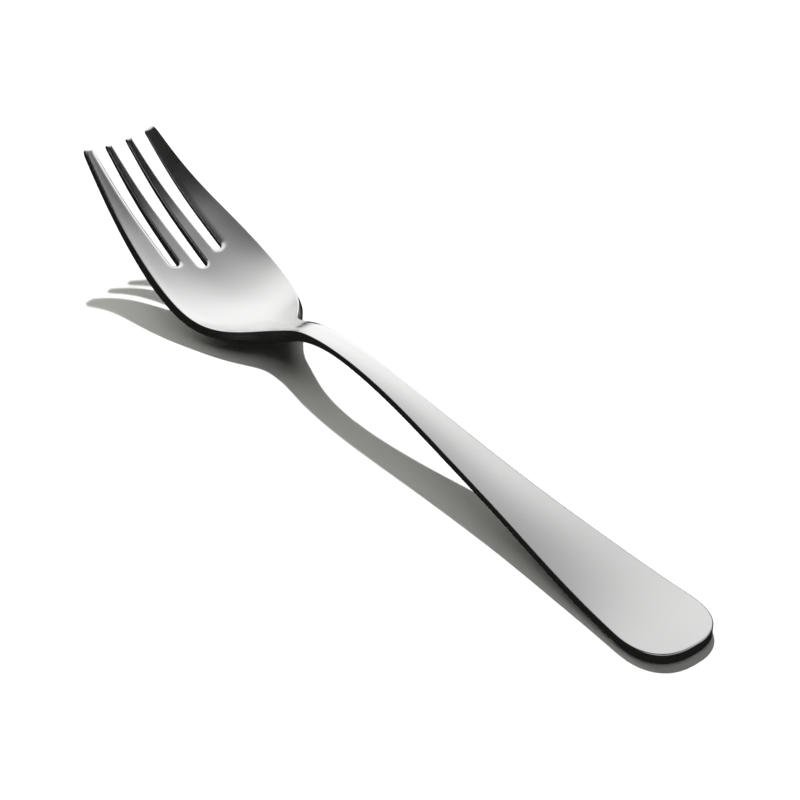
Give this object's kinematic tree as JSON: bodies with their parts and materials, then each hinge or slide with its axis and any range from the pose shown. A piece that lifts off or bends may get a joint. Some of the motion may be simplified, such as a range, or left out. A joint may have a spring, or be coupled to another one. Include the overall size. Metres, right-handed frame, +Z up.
{
  "type": "table fork",
  "caption": "One-piece stainless steel table fork with a shallow dished head, an arched neck and a plain rounded handle.",
  "frame": {"origin": "on the surface that the fork lies on, under the middle of its box", "axes": "+X from the handle to the tips of the tines, +Y across, +Z up"},
  "size_m": [0.181, 0.0272, 0.0237],
  "materials": {
    "steel": "polished stainless steel with a fine satin grain along its length, a little brighter on the ground edges"
  },
  "bodies": {
    "root": {"fork": "steel"}
  },
  "joints": []
}
